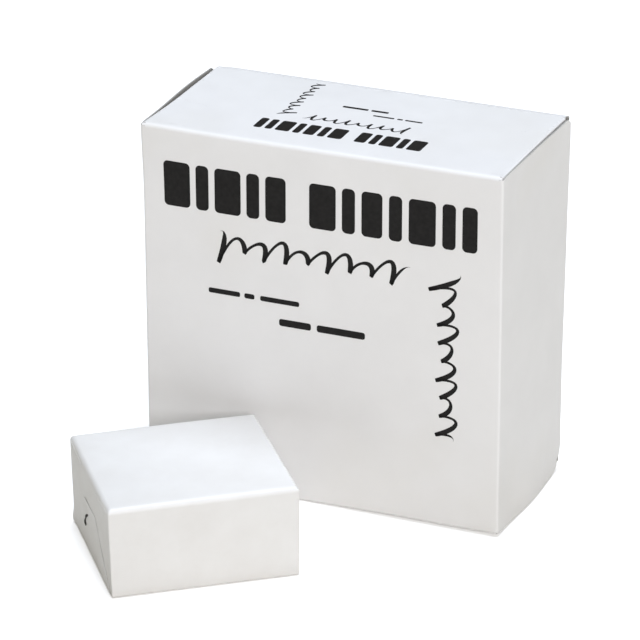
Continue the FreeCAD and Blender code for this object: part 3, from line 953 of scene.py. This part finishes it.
def loose_place():
    """The loose block's own frame, worked out from its end flaps' hinges."""
    left = np.array(joint("loose_left_bottom_flap_fold")["pos_m"]) / MM
    right = np.array(joint("loose_right_bottom_flap_fold")["pos_m"]) / MM
    across = (right - left) / np.linalg.norm(right - left)
    place = np.eye(4)
    place[:3, 0] = across
    place[:3, 1] = [-across[1], across[0], 0]
    place[:3, 3] = [(left[0] + right[0]) / 2, (left[1] + right[1]) / 2, 0]
    return place


def seam_lap(place):
    """The edge of the sheet where it laps over itself down the back of the loose block."""
    x = np.linspace(-1, 1, 60) * (BLOCK_LENGTH / 2 - 1.6)
    z = BLOCK_HEIGHT - BLOCK_EDGE - np.linspace(0, 13.0, 12)
    grid = np.zeros((len(x), len(z), 3))
    grid[..., 0] = x[:, None]
    t = np.linspace(0, 1, len(z))[None, :]
    grid[..., 2] = z[None, :] + 0.5 * noise(grid, 14, 61) * t ** 3
    grid[..., 1] = BLOCK_DEPTH / 2 + 0.28 + 0.22 * t ** 3 * (1 + 0.5 * noise(grid, 8, 62))
    return block_part(slack(grid), 0.45, place)


def loose_block():
    """The loose block: its sleeve and side tucks, its lap, and the flaps at each end."""
    place = loose_place()
    tucks = [f"loose_{side}_{face}_tuck" for side in ("left", "right") for face in ("front", "back")]
    sleeve = make_piece("loose_wrapper_paper", [wrapped_sleeve(place, slack, 0.34, 90)], [WAXED])
    finish_piece(sleeve, "loose_block", ["loose_wrapper_sleeve"] + tucks)
    lap = make_piece("loose_wrapper_lap_paper", [seam_lap(place)], [WAXED])
    finish_piece(lap, "loose_block", ["loose_wrapper_lap"])
    for side, sign in (("left", -1), ("right", 1)):
        for name, lift in (("top", 0.03), ("bottom", 0.05)):
            parts = end_flap(place, slack, sign, name, lift, 40 + sign)
            piece = make_piece(f"loose_{side}_{name}_flap_paper", parts, [WAXED])
            z = BLOCK_HEIGHT if name == "top" else 0.0
            inward = -1 if name == "top" else 1
            face = BLOCK_LENGTH / 2
            start = turned([sign * (face - PAPER_TURN), 0, z], place)
            end = turned([sign * face, 0, z + inward * PAPER_TURN], place)
            finish_piece(
                piece, replaces=[f"loose_{side}_{name}_flap"],
                blend=("loose_block", f"loose_{side}_{name}_flap", start, end),
            )
    small_tear(place)


TEAR_Y = 7.0            # where the small tear is on the left end, back from the block's middle
TEAR_Z = 10.7
TEAR_HEIGHT = 4.1
TEAR_SLOPE = 0.47       # how much the tear falls for each millimetre towards the back
WAIST = 0.39            # how far down the tear its waist is, as a share of its height


def tear_edges(t):
    """The tear's middle and half width, from its top to its foot: a mouth, a waist and a narrower slot."""
    half = 0.75 + 1.35 * bump((t + 0.1) / 0.44) + 0.5 * bump((t - 0.4) / 0.65)
    middle = 0.9 * bump((t - 0.3) / 0.65) - 2.8 * smooth(1 - 2 * t)
    return middle, np.maximum(half * np.sqrt(1 - (2 * t - 1) ** 8), 0.02)


def tear_sheet(t, across, stand, thickness, place):
    """A small sheet on the left end: how far down the tear, how far across, and how far it stands off."""
    grid = np.zeros(np.broadcast(t, across).shape + (3,))
    grid[..., 0] = -BLOCK_LENGTH / 2 - stand
    grid[..., 1] = TEAR_Y + across
    grid[..., 2] = TEAR_Z + TEAR_HEIGHT * (WAIST - t) - TEAR_SLOPE * across
    return block_part(slack(grid), thickness, place)


def small_tear(place):
    """A small tear in the left bottom flap: a dark sheet of painted shade over its opening, with a lip of
    paper raised beside its mouth.
    """
    t = np.linspace(0, 1, 25)[:, None]
    middle, half = tear_edges(t)
    # Painted shade: a dark sheet standing just off the flap takes the place of the shadow inside the tear.
    painted_hole_shade = tear_sheet(t, middle + half * np.linspace(-1, 1, 7), 0.2, 0.12, place)
    piece = make_piece("loose_wrapper_tear", [painted_hole_shade], [TEAR_PAINTED_SHADE])
    finish_piece(piece, "loose_left_bottom_flap")
    t = np.linspace(0.01, 0.42, 15)[:, None]
    middle, half = tear_edges(t)
    width = 1.2 * bump(t / 0.43) + 0.03
    off = np.array([[0.0, 0.5, 1.0]])
    lip = tear_sheet(t, middle + half + width * off, 0.26 + 0.3 * bump(t / 0.43) * (1 - off), 0.06, place)
    piece = make_piece("loose_wrapper_tear_lip", [lip], [WAXED])
    finish_piece(piece, "loose_left_bottom_flap")


# ---------------------------------------------------------------- the studio

# Soft square lights: name, azimuth from the front, elevation, distance, size, power and colour.
LIGHTS = (
    ("overhead_softbox", 180, 84, 4.2, 2.4, 170, (0.81, 0.885, 1.0)),
    ("key_softbox", 36, 25, 4.0, 1.6, 90, (0.985, 0.975, 1.0)),
)
LIGHTS_AIM = Vector((0, 0, 0.05))


def softbox(name, azimuth, elevation, distance, size, power, colour):
    """A square area light that faces the carton's lower half."""
    light = bpy.data.lights.new(name, "AREA")
    light.shape = "SQUARE"
    light.size = size
    light.energy = power
    light.color = colour
    lamp = bpy.data.objects.new(name, light)
    bpy.context.scene.collection.objects.link(lamp)
    a, e = math.radians(azimuth), math.radians(elevation)
    away = Vector((math.sin(a) * math.cos(e), -math.cos(a) * math.cos(e), math.sin(e)))
    lamp.location = LIGHTS_AIM + away * distance
    lamp.rotation_euler = away.to_track_quat("Z", "Y").to_euler()


def studio():
    """A pale floor, an even fill, a large soft light overhead and a soft key from the front right."""
    reach = 6.0
    corners = [(x * reach, y * reach, 0) for x, y in ((-1, -1), (1, -1), (1, 1), (-1, 1))]
    mesh = bpy.data.meshes.new("studio_floor")
    mesh.from_pydata(corners, [], [(0, 1, 2, 3)])
    mesh.materials.append(floor_material())
    floor = bpy.data.objects.new("studio_floor", mesh)
    bpy.context.scene.collection.objects.link(floor)
    floor.location.z = -0.0001      # just under the object, so that the two never coincide
    pale_world()
    for light in LIGHTS:
        softbox(*light)
    bpy.context.scene.view_settings.view_transform = "Standard"


def camera():
    """A long lens from the front right and above, aimed so that the carton sits in the frame as shot."""
    azimuth, elevation, roll = (math.radians(angle) for angle in (23.283, 23.547, -0.173))
    distance = 1.3245
    aim_right, aim_up = -0.01152, 0.04878
    level = math.cos(elevation)
    forward = Vector((-math.sin(azimuth) * level, math.cos(azimuth) * level, -math.sin(elevation)))
    right = forward.cross(Vector((0, 0, 1))).normalized()
    up = right.cross(forward)
    rolled_right = right * math.cos(roll) + up * math.sin(roll)
    rolled_up = up * math.cos(roll) - right * math.sin(roll)
    data = bpy.data.cameras.new("camera")
    data.lens = 227.08
    data.sensor_width = 36.0
    data.clip_start = 0.05
    data.clip_end = 50.0
    shooter = bpy.data.objects.new("camera", data)
    bpy.context.scene.collection.objects.link(shooter)
    place = Matrix((rolled_right, rolled_up, -forward)).transposed().to_4x4()
    place.translation = rolled_right * aim_right + rolled_up * aim_up - forward * distance
    shooter.matrix_world = place
    bpy.context.scene.camera = shooter


def dress_chalk():
    """The chalk cakes keep their CAD shape and get the powdery finish."""
    for name, node in frame["nodes"].items():
        if "chalk" in name:
            node.data.materials.clear()
            node.data.materials.append(CHALK)


carton_tube()
glue_flap()
for side, sign in (("left", -1), ("right", 1)):
    closure(side, sign)
    tuck(side, sign)
    dust_flap(side, sign, "top")
    dust_flap(side, sign, "bottom")
printed_marks()
for number in range(1, PACKED_BLOCKS + 1):
    packed_block(number)
loose_block()
dress_chalk()
studio()
camera()
